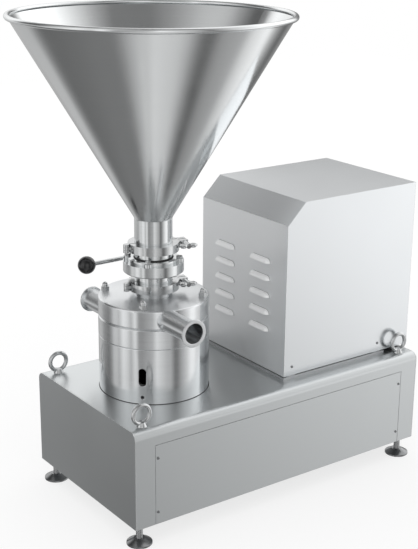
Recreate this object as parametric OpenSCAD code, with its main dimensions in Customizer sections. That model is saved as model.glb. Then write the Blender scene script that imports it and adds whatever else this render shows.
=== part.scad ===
// Colloid mill: a hopper, a butterfly valve and a mill head on a cabinet that holds the belt drive,
// with the motor under a louvred hood. Millimetres, +Z up, the long side along X, the hood at +X.
// The origin lies on the floor, under the middle of the whole machine.

/* [Base cabinet] */
// Length of the cabinet
base_length = 865; // [820:1:1100]
// Width of the cabinet
base_width = 444; // [410:1:600]
// Height of the cabinet
base_height = 238; // [190:1:320]
// Thickness of the cabinet's sheet
base_sheet = 3; // [2:0.5:5]
// Outer radius of the bends along the two long top edges
bend_radius = 18; // [8:1:26]
// Distance of the mill's axis from the cabinet's left end
mill_offset = 196; // [180:1:240]
// Distance of the access panel's side seams from the cabinet's ends
panel_inset = 53; // [45:1:90]
// Distance of the access panel's top seam below the deck
panel_drop = 40; // [34:1:60]
// Width of the seam round the access panel
panel_gap = 1; // [0.5:0.1:2]
// Width of the posts behind the access panel's ends
post_width = 40; // [30:1:56]
// Thickness of the posts
post_thickness = 4; // [3:0.5:8]
// Distance of the panel's screws from its side edges
panel_screw_inset = 6.5; // [5.5:0.5:12]
// Height of the lower panel screws above the cabinet's lower edge
panel_screw_low = 30; // [15:1:50]
// Distance between the two panel screws of one end
panel_screw_pitch = 135; // [80:1:140]

/* [Feet and eye bolts] */
// Height of the cabinet above the floor
foot_height = 50; // [40:1:90]
// Distance of the feet from the cabinet's ends
foot_inset_x = 26; // [22:1:32]
// Distance of the feet from the cabinet's long sides
foot_inset_y = 27; // [22:1:60]
// Radius of the foot's threaded rod
foot_rod_r = 8; // [6:0.5:10]
// Length of the rod above the cabinet's lower edge
foot_rod_inside = 62; // [45:1:90]
// Radius of the foot's pad
foot_pad_r = 30; // [22:1:40]
// Thickness of the pad's rim
foot_pad_rim = 4; // [2:0.5:8]
// Height of the pad's cone above its rim
foot_pad_cone = 10; // [6:1:16]
// Radius of the pad's hub round the rod
foot_hub_r = 13; // [12:0.5:18]
// Depth of the rod's seat in the pad
foot_seat = 10; // [6:1:12]
// Distance of the eye bolts from the cabinet's ends
eye_inset_x = 38; // [34:1:60]
// Distance of the eye bolts from the cabinet's long sides
eye_inset_y = 32; // [31:1:38]
// Outer radius of an eye bolt's ring
eye_ring_r = 27; // [20:0.5:32]
// Radius of the ring's round bar
eye_bar_r = 5; // [4:0.5:8]
// Radius of the collar under the ring
eye_collar_r = 12.5; // [10:0.5:13]
// Height of the collar
eye_collar_height = 10; // [5:0.5:12]
// Radius of the eye bolt's shank
eye_shank_r = 6; // [5:0.5:8]
// Length of the shank
eye_shank = 15; // [12:1:24]

/* [Motor hood] */
// Length of the hood
hood_length = 414; // [380:1:450]
// Distance of the hood's long sides from the cabinet's
hood_margin = 51; // [46:1:56]
// Height of the hood
hood_height = 433; // [420:1:520]
// Thickness of the hood's sheet
hood_sheet = 2; // [1:0.5:3]
// Length of the chamfer's legs on the louvred side
hood_chamfer = 52; // [20:1:80]
// Distance by which the hood stands past the cabinet's right end
hood_overhang = 10; // [0:1:30]
// Gap between the hood and the motor plate
hood_gap = 2.5; // [1:0.5:5]
// Height of the hood's screws above its lower edge
hood_screw_height = 22; // [18:1:34]
// Distance of the hood's screws from the ends of the motor plate
hood_screw_inset = 25; // [20:1:50]
// Length of a louvre
louvre_length = 76; // [50:1:100]
// Depth of a louvre, which is also its height
louvre_depth = 12; // [8:1:16]
// Distance between the two columns of louvres
louvre_columns = 142; // [120:1:160]
// Distance between the rows of louvres
louvre_pitch = 43.5; // [30:0.5:48]
// Height of the lowest louvres above the hood's lower edge
louvre_first = 106; // [60:1:130]
// Number of rows of louvres
louvre_rows = 5; // [2:1:5]

/* [Motor and belt drive] */
// Length of the motor plate
plate_length = 334; // [320:1:360]
// Thickness of the motor plate
plate_thickness = 7; // [5:1:16]
// Radius of the motor's flange
motor_flange_r = 150; // [145:1:160]
// Thickness of the motor's flange
motor_flange_thickness = 18; // [12:1:24]
// Radius of the flange's spigot in the motor plate
motor_spigot_r = 115; // [100:1:118]
// Radius of the circle of the flange bolts
motor_bolt_circle = 132.5; // [130:0.5:135]
// Radius of the motor's frame without its fins
motor_frame_r = 112; // [95:1:116]
// Height of the motor's frame
motor_frame_height = 272; // [220:1:290]
// Number of cooling fins
motor_fins = 20; // [12:2:32]
// Height of the fan cowl
motor_cowl_height = 72; // [50:1:90]
// Radius of the motor's shaft
motor_shaft_r = 19; // [14:0.5:24]
// Length of the shaft below the flange's face
motor_shaft_length = 82; // [80:1:100]
// Outer radius of the motor's pulley
motor_pulley_r = 70; // [60:1:80]
// Outer radius of the spindle's pulley
spindle_pulley_r = 50; // [44:1:60]
// Width of both pulleys
pulley_width = 50; // [46:1:54]
// Number of belts
belt_count = 3; // [1:1:3]
// Distance between two belts
belt_pitch = 15; // [14:0.5:16]
// Width of a belt
belt_width = 8; // [6:0.5:9]
// Height of a belt's section
belt_height = 8; // [6:0.5:9]

/* [Mill head] */
// Outer radius of the mill head
casing_r = 132; // [128:1:142]
// Thickness of the casing's walls
casing_wall = 28; // [24:1:30]
// Height of the lower housing
housing_height = 135; // [120:1:180]
// Height of the middle ring
ring_height = 48; // [48:1:70]
// Height of the cover
cover_height = 46; // [46:1:70]
// Thickness of the cover's top
cover_top = 16; // [10:1:20]
// Radius of the cover's upper edge
cover_fillet = 4; // [1:0.5:8]
// Chamfer of the seam between cover and middle ring
seam_chamfer = 3; // [0.5:0.5:4]
// Chamfer of the seam between middle ring and housing
low_seam_chamfer = 1; // [0.5:0.5:3]
// Thickness of the housing's outer wall
housing_wall = 12; // [8:1:16]
// Thickness of the housing's top
housing_top = 18; // [14:1:24]
// Radius of the housing's bearing hub
hub_r = 62; // [60:1:70]
// Width of the oblong slot in the housing
slot_width = 18; // [10:1:26]
// Height of the oblong slot
slot_height = 44; // [30:1:60]
// Height of the slot's middle above the deck
slot_level = 67; // [60:1:75]
// Direction of the slot, seen from above
slot_angle = -135; // [-150:1:-120]
// Radius of the drain hole below the slot
drain_r = 4.2; // [2:0.1:6]
// Height of the drain hole above the deck
drain_level = 17; // [12:1:24]
// Radius of the circle of the cover's studs
stud_circle = 118; // [117:0.5:119]
// Radius of the studs
stud_r = 5; // [4:0.5:6]
// Width of a dome nut across its flats
dome_nut_flats = 17; // [15:0.5:19]
// Height of the dome nut's hexagon
dome_nut_height = 10; // [8:0.5:14]
// Radius of the dome on the nut
dome_r = 6.5; // [6.5:0.1:7.4]
// Height of the dome's straight part
dome_straight = 5; // [2:0.5:8]

/* [Side pipes] */
// Outer radius of the side pipes
pipe_r = 25.4; // [22:0.1:26]
// Wall of the side pipes
pipe_wall = 1.65; // [1:0.05:3]
// Radius of the ferrules on the side pipes
pipe_ferrule_r = 32; // [28:0.5:36]
// Distance of the pipes' ends from the plane through the mill's axis
pipe_reach = 224; // [190:1:260]
// Distance of the pipes from the mill's axis, towards the cabinet's left end
pipe_offset = 40; // [30:1:46]
// Height of the front pipe above the cover's lower face
front_pipe_level = 21.5; // [20:0.5:23]
// Radius of the ports from the pipes into the mill
port_r = 18; // [12:0.5:18]

/* [Spindle and grinding set] */
// Radius of the spindle in its bearings
spindle_r = 20; // [16:0.5:24]
// Length of the spindle below the deck
spindle_below = 76; // [74:1:90]
// Outer radius of the bearings
bearing_r = 40; // [36:0.5:42]
// Width of the bearings
bearing_width = 18; // [14:0.5:23]
// Distance of each bearing from the end of its bore
bearing_cap_height = 10; // [8:0.5:14]
// Largest radius of the rotor
rotor_r = 64.5; // [60:0.5:70]
// Height of the rotor
rotor_height = 44; // [36:1:46]
// Amount by which the rotor's radius shrinks towards its top
rotor_taper = 7.5; // [4:0.5:10]
// Number of grinding grooves in the rotor and in the stator
groove_count = 16; // [8:2:24]
// Depth of the grinding grooves
groove_depth = 3; // [1:0.5:4]
// Gap between rotor and stator
grinding_gap = 0.5; // [0.3:0.1:1]
// Thickness of the stator's wall at its foot
stator_wall = 20; // [12:1:24]

/* [Feed line] */
// Outer radius of the feed tube
tube_r = 44.5; // [40:0.5:47]
// Wall of the feed tube
tube_wall = 2; // [1.5:0.1:3]
// Radius of the feed tube's ferrules
ferrule_r = 53; // [52:0.5:55]
// Thickness of a ferrule's rim
ferrule_rim = 2.85; // [2:0.05:4]
// Slope of a ferrule's back in degrees
ferrule_slope = 20; // [15:1:25]
// Thickness of the gaskets between the ferrules
gasket = 2; // [1:0.5:3]
// Height of the lower clamp's middle above the cover
inlet_height = 24; // [23:1:40]
// Distance between the middles of the two clamps
valve_length = 94; // [92:1:120]
// Radius of the valve's thick ring
valve_ring_r = 71.5; // [69:0.5:76]
// Height of the valve's thick ring
valve_ring_height = 24; // [22:1:34]
// Thickness of the valve's upper flange
valve_flange = 8; // [6:0.5:9]
// Radius of the upper flange between its ears
valve_flange_r = 60; // [58:0.5:64]
// Radius of the circle of the valve's bolts
valve_bolt_circle = 62; // [60:0.5:63]
// Radius of the valve's bolts
valve_bolt_r = 4; // [3:0.5:4]
// Thickness of the valve's rubber seat
seat_wall = 7; // [4:0.5:8]
// Thickness of the valve's disc
disc_thickness = 6; // [4:0.5:10]
// Radius of the valve's stem
stem_r = 8; // [6:0.5:9]
// Distance of the lever from the mill's axis
lever_reach = 84; // [82:0.5:88]
// Length of the lever from the stem to the middle of the knob
lever_length = 132; // [100:1:150]
// Radius of the lever's rod
lever_rod_r = 5; // [4:0.5:6]
// Radius of the ball knob
knob_r = 21; // [14:0.5:22]

/* [Clamps] */
// Outer radius of the clamps
clamp_r = 60; // [58:0.5:64]
// Height of the clamps
clamp_height = 20; // [18:0.5:24]
// Direction of the clamps' swing bolts, seen from above
clamp_angle = -12; // [-20:1:-5]
// Distance of the hinge pin from the feed line's axis
hinge_distance = 67.5; // [67.5:0.5:72]
// Radius of the hinge pin
hinge_pin_r = 4; // [3:0.5:4.5]
// Distance of the swing bolt from the feed line's axis
bolt_distance = 74; // [73:0.5:82]
// Radius of the swing bolt
bolt_r = 4; // [3:0.5:4.5]
// Radius of a wing of the wing nut
wing_lobe_r = 10; // [7:0.5:10]
// Distance of a wing's middle from the bolt
wing_offset = 12; // [10:0.5:12]
// Thickness of the wings
wing_thickness = 8; // [5:0.5:8]
// Radius of the hollow in each wing
wing_hollow_r = 5.5; // [3:0.5:6]

/* [Hopper] */
// Length of the neck above the upper clamp's middle
neck_length = 68; // [60:1:90]
// Height of the hopper's cone
cone_height = 461; // [300:1:520]
// Radius of the cone at the rim
rim_r = 318; // [240:1:350]
// Thickness of the hopper's sheet
hopper_sheet = 1.5; // [1:0.1:3]
// Radius of the rolled bead round the rim
bead_r = 6; // [4:0.5:8]

/* [Hidden] */
$fn = 72;

// Clearances
thread_fit = 0.05;
running_fit = 0.04;
part_gap = 0.3;
screw_fit = 0.1;
loose_fit = 0.5;
half_gap = 1.5;
overcut = 1;

// Small fasteners
screw_r = 2;
screw_head_r = 3.5;
screw_head = 2.2;
bolt_hex_flats = 13;
bolt_hex_height = 5.3;
big_hex_flats = 19;
big_hex_height = 7.5;
housing_bolt_r = 5;
housing_bolt_circle = 54;
motor_bolt_r = 6;
bracket_width = 26;
bracket_thickness = 4;
weld_nut_height = 12;
foot_nut_height = 24;
foot_nut_flats = 24;

// Levels above the floor
z_base = foot_height;
z_deck = foot_height + base_height;
z_under_deck = z_deck - base_sheet;
z_plate = z_deck + plate_thickness;
z_hood = z_plate + hood_gap;
z_ring = z_deck + housing_height;
z_cover = z_ring + ring_height;
z_lid = z_cover + cover_height;
z_low_joint = z_lid + inlet_height;
z_top_joint = z_low_joint + valve_length;
z_valve = (z_low_joint + z_top_joint) / 2;
z_valve_ring = z_valve - valve_ring_height / 2;
z_valve_flange = z_valve + valve_ring_height / 2;
z_cone = z_top_joint + neck_length;

// Places along the cabinet
hopper_reach = rim_r + bead_r;
x_left = (hopper_reach - mill_offset - base_length - hood_overhang) / 2;
x_right = x_left + base_length;
x_middle = (x_left + x_right) / 2;
mill_x = x_left + mill_offset;
hood_x = x_right + hood_overhang - hood_length;
motor_x = hood_x + plate_length / 2;
axis_distance = motor_x - mill_x;
y_front = -base_width / 2;
hood_width = base_width - 2 * hood_margin;

// Inner sizes that several pieces share
bore_r = tube_r - tube_wall;
pipe_bore_r = pipe_r - pipe_wall;
cavity_r = casing_r - casing_wall;
rear_pipe_level = ring_height / 2;
seat_r = bore_r - 2.5;
seat_pocket_r = seat_r + seat_wall;
seat_height = valve_ring_height - 2;
disc_r = seat_r - part_gap;
rotor_hole_r = spindle_r - 5;
rotor_nut_r = spindle_r - 11;
seal_r = spindle_r - 3;
rotor_rise = 28;
rotor_nut_height = 14;
rotor_level = housing_height + rotor_rise;
belt_side_gap = 0.6;
groove_flare = 2.4;
groove_pulley = belt_height + 2.5;
motor_fin_r = motor_frame_r + 14;
belt_z = z_plate - motor_shaft_length + pulley_width / 2;
post_top = z_deck - (panel_drop + bend_radius) / 2;
bolt_tail = 3;
swing_pin_r = bolt_r - 1;
lug_depth = 12.5;
lug_height = clamp_height - 3;
lug_outer = bolt_distance + 2 * bolt_r;
wing_seat = half_gap + lug_depth + part_gap;
wing_clear = 1;
wing_middle = sqrt(pow(clamp_r + wing_lobe_r + wing_clear, 2) - pow(bolt_distance - wing_offset, 2));
wing_hub = wing_middle - wing_seat + wing_lobe_r / 2;
ear_r = valve_ring_r - valve_bolt_circle;
steel = "silver";
dull_steel = "darkgray";
dark = "dimgray";
black = "black";

// Corners of the cabinet as signs along X and Y
corners = [for (sx = [-1, 1], sy = [-1, 1]) [sx, sy]];
diagonals = [45, 135, 225, 315];

// Shapes that several pieces use

module at_mill(z) {
    translate([mill_x, 0, z]) children();
}

module at_motor(z) {
    translate([motor_x, 0, z]) children();
}

// Hexagonal prism standing on the XY plane
module hexagon(flats, height) {
    cylinder(r = flats / sqrt(3), h = height, $fn = 6);
}

// Ring standing on the XY plane
module ring(outer, inner, height) {
    difference() {
        cylinder(r = outer, h = height);
        translate([0, 0, -overcut]) cylinder(r = inner, h = height + 2 * overcut);
    }
}

// Flat outline with round ends, its long side along Y
module oblong(width, length) {
    square([width, length - width], center = true);
    for (s = [-1, 1]) translate([0, s * (length - width) / 2]) circle(width / 2);
}

// Extrudes an outline drawn in Y and Z along X
module along_x(x, length) {
    translate([x, 0, 0]) rotate([90, 0, 90]) linear_extrude(length) children();
}

// Cross-section of the cabinet with its two round top corners, standing on the X axis
module cabinet_outline(width, height, radius) {
    translate([-width / 2, 0]) square([width, height - radius]);
    translate([radius - width / 2, 0]) square([width - 2 * radius, height]);
    for (s = [-1, 1]) translate([s * (width / 2 - radius), height - radius]) circle(radius);
}

// Pan-head screw with its head's underside on the XY plane, shank downwards
module pan_screw(length) {
    translate([0, 0, -length]) cylinder(r = screw_r, h = length);
    cylinder(r1 = screw_head_r, r2 = screw_head_r * 0.7, h = screw_head);
}

// Hexagon bolt with its head's underside on the XY plane, shank downwards
module hex_bolt(radius, length, flats, head) {
    translate([0, 0, -length]) cylinder(r = radius, h = length + overcut);
    hexagon(flats, head);
}

// Half of the section of a tube end with its ferrule, the face at height 0 and the tube rising
module ferrule_section(bore, outer, rim, height) {
    slope = (rim - outer) * tan(ferrule_slope);
    polygon([[bore, 0], [rim, 0], [rim, ferrule_rim], [outer, ferrule_rim + slope],
        [outer, height], [bore, height]]);
}

module ferrule_tube(bore, outer, rim, height) {
    rotate_extrude() ferrule_section(bore, outer, rim, height);
}

// Base cabinet

module foot_place(c) {
    translate([x_middle + c.x * (base_length / 2 - foot_inset_x), c.y * (base_width / 2 - foot_inset_y), 0])
        children();
}

module eye_place(c) {
    translate([x_middle + c.x * (base_length / 2 - eye_inset_x), c.y * (base_width / 2 - eye_inset_y), 0])
        children();
}

module panel_screw_places() {
    for (s = [-1, 1], i = [0, 1]) {
        x = x_middle + s * (base_length / 2 - panel_inset - panel_gap - panel_screw_inset);
        translate([x, y_front, z_base + panel_screw_low + i * panel_screw_pitch])
            rotate([90, 0, 0]) children();
    }
}

module base_shell() {
    color(steel) difference() {
        union() {
            difference() {
                along_x(x_left + base_sheet, base_length - 2 * base_sheet)
                    translate([0, z_base]) cabinet_outline(base_width, base_height, bend_radius);
                along_x(x_left, base_length)
                    translate([0, z_base - overcut])
                    cabinet_outline(base_width - 2 * base_sheet, base_height - base_sheet + overcut,
                        bend_radius - base_sheet);
            }
            for (c = corners) eye_place(c)
                translate([0, 0, z_under_deck - weld_nut_height + overcut])
                hexagon(big_hex_flats, weld_nut_height);
        }
        translate([x_left + panel_inset, y_front - overcut, z_base - overcut])
            cube([base_length - 2 * panel_inset, base_sheet + 2 * overcut,
                base_height - panel_drop + overcut]);
        at_mill(z_under_deck - overcut)
            cylinder(r = spindle_r + housing_bolt_r, h = base_sheet + 2 * overcut);
        at_motor(z_under_deck - overcut)
            cylinder(r = motor_pulley_r + housing_bolt_r, h = base_sheet + 2 * overcut);
        for (a = diagonals) at_mill(z_under_deck - overcut) rotate(a)
            translate([housing_bolt_circle, 0, 0])
            cylinder(r = housing_bolt_r + loose_fit, h = base_sheet + 2 * overcut);
        for (a = diagonals) at_motor(z_under_deck - overcut) rotate(a)
            translate([motor_bolt_circle, 0, 0])
            cylinder(r = motor_bolt_r + loose_fit, h = base_sheet + 2 * overcut);
        for (c = corners) eye_place(c)
            translate([0, 0, z_under_deck - weld_nut_height])
            cylinder(r = eye_shank_r + thread_fit, h = weld_nut_height + base_sheet + overcut);
    }
}

module end_panel(x) {
    color(steel) along_x(x, base_sheet)
        translate([0, z_base]) cabinet_outline(base_width, base_height, bend_radius);
}

module end_panel_left() {
    end_panel(x_left);
}

module end_panel_right() {
    end_panel(x_right - base_sheet);
}

module front_panel() {
    color(steel) difference() {
        translate([x_left + panel_inset + panel_gap, y_front, z_base])
            cube([base_length - 2 * (panel_inset + panel_gap), base_sheet,
                base_height - panel_drop - panel_gap]);
        panel_screw_places() translate([0, 0, -base_sheet - overcut])
            cylinder(r = screw_r + screw_fit, h = base_sheet + 2 * overcut);
    }
}

module panel_posts() {
    color(dull_steel) difference() {
        for (s = [-1, 1])
            translate([x_middle + s * (base_length / 2 - panel_inset) - post_width / 2,
                y_front + base_sheet, z_base + base_sheet])
            cube([post_width, post_thickness, post_top - z_base - base_sheet]);
        panel_screw_places() translate([0, 0, -base_sheet - post_thickness - overcut])
            cylinder(r = screw_r + screw_fit, h = post_thickness + base_sheet);
    }
}

module panel_screws() {
    color(dull_steel) panel_screw_places() pan_screw(base_sheet + post_thickness);
}

module bottom_plate() {
    color(dull_steel) difference() {
        union() {
            translate([x_left + base_sheet, y_front + base_sheet, z_base])
                cube([base_length - 2 * base_sheet, base_width - 2 * base_sheet, base_sheet]);
            for (c = corners) foot_place(c) translate([0, 0, z_base + base_sheet - overcut])
                hexagon(foot_nut_flats, foot_nut_height + overcut);
        }
        for (c = corners) foot_place(c) translate([0, 0, z_base - overcut])
            cylinder(r = foot_rod_r + thread_fit, h = base_sheet + foot_nut_height + 2 * overcut);
    }
}

// Levelling feet

module foot_rod(c) {
    low = foot_pad_rim + foot_pad_cone - foot_seat;
    color(steel) foot_place(c) translate([0, 0, low])
        cylinder(r = foot_rod_r, h = z_base + foot_rod_inside - low);
}

module foot_pad(c) {
    top = foot_pad_rim + foot_pad_cone;
    color(dark) foot_place(c) difference() {
        rotate_extrude() polygon([[0, 0], [foot_pad_r, 0], [foot_pad_r, foot_pad_rim],
            [foot_hub_r, top], [0, top]]);
        translate([0, 0, top - foot_seat]) cylinder(r = foot_rod_r + thread_fit, h = foot_seat + overcut);
    }
}

module foot_rod_front_left() {
    foot_rod([-1, -1]);
}

module foot_rod_back_left() {
    foot_rod([-1, 1]);
}

module foot_rod_front_right() {
    foot_rod([1, -1]);
}

module foot_rod_back_right() {
    foot_rod([1, 1]);
}

module foot_pad_front_left() {
    foot_pad([-1, -1]);
}

module foot_pad_back_left() {
    foot_pad([-1, 1]);
}

module foot_pad_front_right() {
    foot_pad([1, -1]);
}

module foot_pad_back_right() {
    foot_pad([1, 1]);
}

module eye_bolts() {
    ring_mid_r = eye_ring_r - eye_bar_r;
    ring_level = eye_ring_r + overcut;
    color(steel) for (c = corners) eye_place(c) {
        translate([0, 0, z_deck + ring_level]) rotate([90, 0, 0])
            rotate_extrude() translate([ring_mid_r, 0]) circle(eye_bar_r);
        translate([0, 0, z_deck]) cylinder(r1 = eye_collar_r, r2 = eye_collar_r * 0.6, h = eye_collar_height);
        translate([0, 0, z_deck - eye_shank]) cylinder(r = eye_shank_r, h = eye_shank + overcut);
    }
}

// Motor plate and hood

module hood_screw_places() {
    for (x = [hood_screw_inset, plate_length - hood_screw_inset], s = [0, 180])
        translate([hood_x + x, 0, z_hood + hood_screw_height]) rotate(s)
            translate([0, -hood_width / 2, 0]) rotate([90, 0, 0]) children();
}

module motor_plate() {
    color(dull_steel) difference() {
        translate([hood_x, -hood_width / 2, z_deck]) cube([plate_length, hood_width, plate_thickness]);
        at_motor(z_deck - overcut) cylinder(r = motor_spigot_r, h = plate_thickness + 2 * overcut);
        for (a = diagonals) at_motor(z_deck - overcut) rotate(a) translate([motor_bolt_circle, 0, 0])
            cylinder(r = motor_bolt_r + loose_fit, h = plate_thickness + 2 * overcut);
    }
}

// Side view of the hood, shrunk by an inset on every side but the open bottom
module hood_outline(inset) {
    corner = inset * (sqrt(2) - 1);
    top = hood_height - inset;
    low = inset > 0 ? -overcut : 0;
    polygon([[inset, low], [inset, hood_height - hood_chamfer - corner], [hood_chamfer + corner, top],
        [hood_length - inset, top], [hood_length - inset, low]]);
}

// Half of an outline with round ends, on the +X side of its long axis
module half_oblong(radius, length) {
    intersection() {
        translate([0, -length / 2]) square([radius + overcut, length]);
        oblong(2 * radius, length);
    }
}

module louvre_places() {
    for (s = [-1, 1], i = [0 : louvre_rows - 1])
        translate([hood_x + hood_sheet / 2, s * louvre_columns / 2,
            z_hood + louvre_first - louvre_depth / 2 + i * louvre_pitch])
            children();
}

// Pressed hood over a louvre: a quarter of a round-ended shell that opens downwards
module louvre_lid() {
    rotate([0, 180, 0]) rotate([-90, 0, 0]) rotate_extrude(angle = 90) difference() {
        half_oblong(louvre_depth, louvre_length);
        half_oblong(louvre_depth - hood_sheet, louvre_length - 2 * hood_sheet);
    }
}

// The vent through the sheet behind a louvre
module louvre_vent() {
    translate([-hood_sheet, 0, 0]) rotate([0, -90, 0]) mirror([0, 0, 1])
        linear_extrude(2 * hood_sheet)
        half_oblong(louvre_depth - hood_sheet, louvre_length - 2 * hood_sheet);
}

module hood() {
    color(steel) difference() {
        union() {
            difference() {
                translate([hood_x, hood_width / 2, z_hood]) rotate([90, 0, 0])
                    linear_extrude(hood_width) hood_outline(0);
                translate([hood_x, hood_width / 2 - hood_sheet, z_hood]) rotate([90, 0, 0])
                    linear_extrude(hood_width - 2 * hood_sheet) hood_outline(hood_sheet);
                louvre_places() louvre_vent();
            }
            louvre_places() louvre_lid();
        }
        hood_screw_places() translate([0, 0, -hood_sheet - overcut])
            cylinder(r = screw_r + screw_fit, h = hood_sheet + 2 * overcut);
    }
}

module hood_brackets() {
    upright = hood_gap + hood_screw_height + bracket_width / 2;
    color(dull_steel) difference() {
        for (x = [hood_screw_inset, plate_length - hood_screw_inset], s = [0, 180])
            translate([hood_x + x, 0, z_plate]) rotate(s)
            translate([-bracket_width / 2, hood_sheet - hood_width / 2, 0]) {
                cube([bracket_width, bracket_thickness, upright]);
                cube([bracket_width, bracket_width, bracket_thickness]);
            }
        hood_screw_places() translate([0, 0, -hood_sheet - bracket_thickness - overcut])
            cylinder(r = screw_r + screw_fit, h = bracket_thickness + hood_sheet);
    }
}

module hood_screws() {
    color(dull_steel) hood_screw_places() pan_screw(hood_sheet + bracket_thickness);
}

// Motor

module motor_flange() {
    color(dark) at_motor(z_plate) difference() {
        union() {
            cylinder(r = motor_flange_r, h = motor_flange_thickness);
            translate([0, 0, -plate_thickness / 2])
                cylinder(r = motor_spigot_r - running_fit, h = plate_thickness);
        }
        translate([0, 0, -plate_thickness])
            cylinder(r = motor_shaft_r + running_fit, h = plate_thickness + motor_flange_thickness + overcut);
        for (a = diagonals) rotate(a) translate([motor_bolt_circle, 0, -overcut])
            cylinder(r = motor_bolt_r + loose_fit, h = motor_flange_thickness + 2 * overcut);
    }
}

module motor_frame() {
    fin_thickness = 3;
    color(dark) at_motor(z_plate + motor_flange_thickness) difference() {
        linear_extrude(motor_frame_height) {
            circle(motor_frame_r);
            for (i = [0 : motor_fins - 1]) rotate(360 * (i + 0.5) / motor_fins)
                translate([0, -fin_thickness / 2]) square([motor_fin_r, fin_thickness]);
        }
        translate([0, 0, -overcut])
            cylinder(r = motor_shaft_r + running_fit, h = motor_frame_height - motor_shaft_r + overcut);
        for (a = diagonals) rotate(a) translate([motor_bolt_circle, 0, -overcut])
            cylinder(r = big_hex_flats / sqrt(3) + part_gap, h = big_hex_height + part_gap + overcut);
    }
}

module motor_cowl() {
    color(dark) at_motor(z_plate + motor_flange_thickness + motor_frame_height)
        cylinder(r1 = motor_fin_r, r2 = motor_frame_r, h = motor_cowl_height);
}

module terminal_box() {
    box = [46, 100, 90];
    color(dark) at_motor(z_plate + motor_flange_thickness + motor_frame_height / 2) difference() {
        translate([motor_frame_r, -box.y / 2, 0]) cube(box);
        translate([0, 0, -overcut]) cylinder(r = motor_fin_r + part_gap, h = box.z + 2 * overcut);
    }
}

module motor_shaft() {
    top = motor_flange_thickness + motor_frame_height - motor_shaft_r - part_gap;
    color(steel) at_motor(z_plate - motor_shaft_length)
        cylinder(r = motor_shaft_r, h = motor_shaft_length + top);
}

module motor_bolts() {
    length = motor_flange_thickness + plate_thickness + base_sheet + big_hex_height;
    color(dull_steel) for (a = diagonals) at_motor(z_plate + motor_flange_thickness) rotate(a)
        translate([motor_bolt_circle, 0, 0]) {
            hex_bolt(motor_bolt_r, length, big_hex_flats, big_hex_height);
            translate([0, 0, -length]) hexagon(big_hex_flats, big_hex_height);
        }
}

// Belt drive

// Half of a pulley's section: a rim with one groove for each belt
module pulley_section(radius, bore) {
    mouth = belt_width / 2 + groove_flare;
    bed = belt_width / 2 + belt_side_gap;
    groove_r = radius - groove_pulley;
    grooves = [for (i = [0 : belt_count - 1]) (i - (belt_count - 1) / 2) * belt_pitch];
    sides = [for (z = grooves, p = [[radius, -mouth], [groove_r, -bed], [groove_r, bed], [radius, mouth]])
        [p.x, z + p.y]];
    polygon(concat([[bore, -pulley_width / 2], [radius, -pulley_width / 2]], sides,
        [[radius, pulley_width / 2], [bore, pulley_width / 2]]));
}

module motor_pulley() {
    color(dark) at_motor(belt_z) rotate_extrude()
        pulley_section(motor_pulley_r, motor_shaft_r + running_fit);
}

module spindle_pulley() {
    color(dark) at_mill(belt_z) rotate_extrude()
        pulley_section(spindle_pulley_r, seal_r + running_fit);
}

// Outline of a belt's inner or outer face round both pulleys
function belt_outline(small, big) =
    let (lean = acos((big - small) / axis_distance), steps = 24)
    concat([for (i = [0 : steps]) small * [cos(lean + i * (360 - 2 * lean) / steps),
            sin(lean + i * (360 - 2 * lean) / steps)]],
        [for (i = [0 : steps]) [axis_distance, 0] + big * [cos(-lean + i * 2 * lean / steps),
            sin(-lean + i * 2 * lean / steps)]]);

module belts() {
    small = spindle_pulley_r - groove_pulley + loose_fit;
    big = motor_pulley_r - groove_pulley + loose_fit;
    color(black) for (i = [0 : belt_count - 1])
        at_mill(belt_z + (i - (belt_count - 1) / 2) * belt_pitch - belt_width / 2)
        linear_extrude(belt_width) difference() {
            polygon(belt_outline(small + belt_height, big + belt_height));
            polygon(belt_outline(small, big));
        }
}

// Mill head: housing, spindle and bearings

module bearing_housing() {
    bearing_bore = housing_height - housing_top;
    color(steel) at_mill(z_deck) difference() {
        rotate_extrude() polygon([[0, 0], [casing_r, 0], [casing_r, housing_height - low_seam_chamfer],
            [casing_r - low_seam_chamfer, housing_height], [0, housing_height]]);
        translate([0, 0, -overcut])
            ring(casing_r - housing_wall, hub_r, housing_height - housing_top + overcut);
        translate([0, 0, -overcut]) cylinder(r = bearing_r, h = bearing_bore + overcut);
        translate([0, 0, -overcut])
            cylinder(r = spindle_r + bearing_cap_height, h = housing_height + 2 * overcut);
        rotate(slot_angle) translate([casing_r - housing_wall - overcut, 0, slot_level])
            rotate([90, 0, 90]) linear_extrude(housing_wall + 2 * overcut) oblong(slot_width, slot_height);
        rotate(slot_angle) translate([casing_r - housing_wall - overcut, 0, drain_level])
            rotate([0, 90, 0]) cylinder(r = drain_r, h = housing_wall + 2 * overcut);
        for (a = diagonals) rotate(a) translate([housing_bolt_circle, 0, -overcut])
            cylinder(r = housing_bolt_r + screw_fit, h = 26 + overcut);
        for (a = diagonals) rotate(a) translate([stud_circle, 0, housing_height - housing_top + 2])
            cylinder(r = stud_r + screw_fit, h = housing_top);
        gasket_groove(housing_height);
    }
}

// Ring-shaped groove for a gasket below a joint face at a given height
module gasket_groove(z) {
    translate([0, 0, z - gasket]) ring(cavity_r + 5, cavity_r + 2, gasket + overcut);
}

module casing_gaskets() {
    color(black) for (z = [z_ring, z_cover]) at_mill(z - gasket)
        ring(cavity_r + 5 - screw_fit, cavity_r + 2 + screw_fit, gasket);
}

module bearings() {
    color(steel) for (z = [bearing_cap_height, housing_height - housing_top - bearing_width])
        at_mill(z_deck + z) rotate_extrude() {
            difference() {
                translate([spindle_r + running_fit, 0])
                    square([bearing_r - spindle_r - 2 * running_fit, bearing_width]);
                for (s = [0, bearing_width]) translate([(bearing_r + spindle_r) / 2, s])
                    circle(bearing_width / 6);
            }
        }
}

module bearing_cap() {
    color(steel) at_mill(z_deck)
        ring(bearing_r - running_fit, spindle_r + loose_fit, bearing_cap_height);
}

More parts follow.
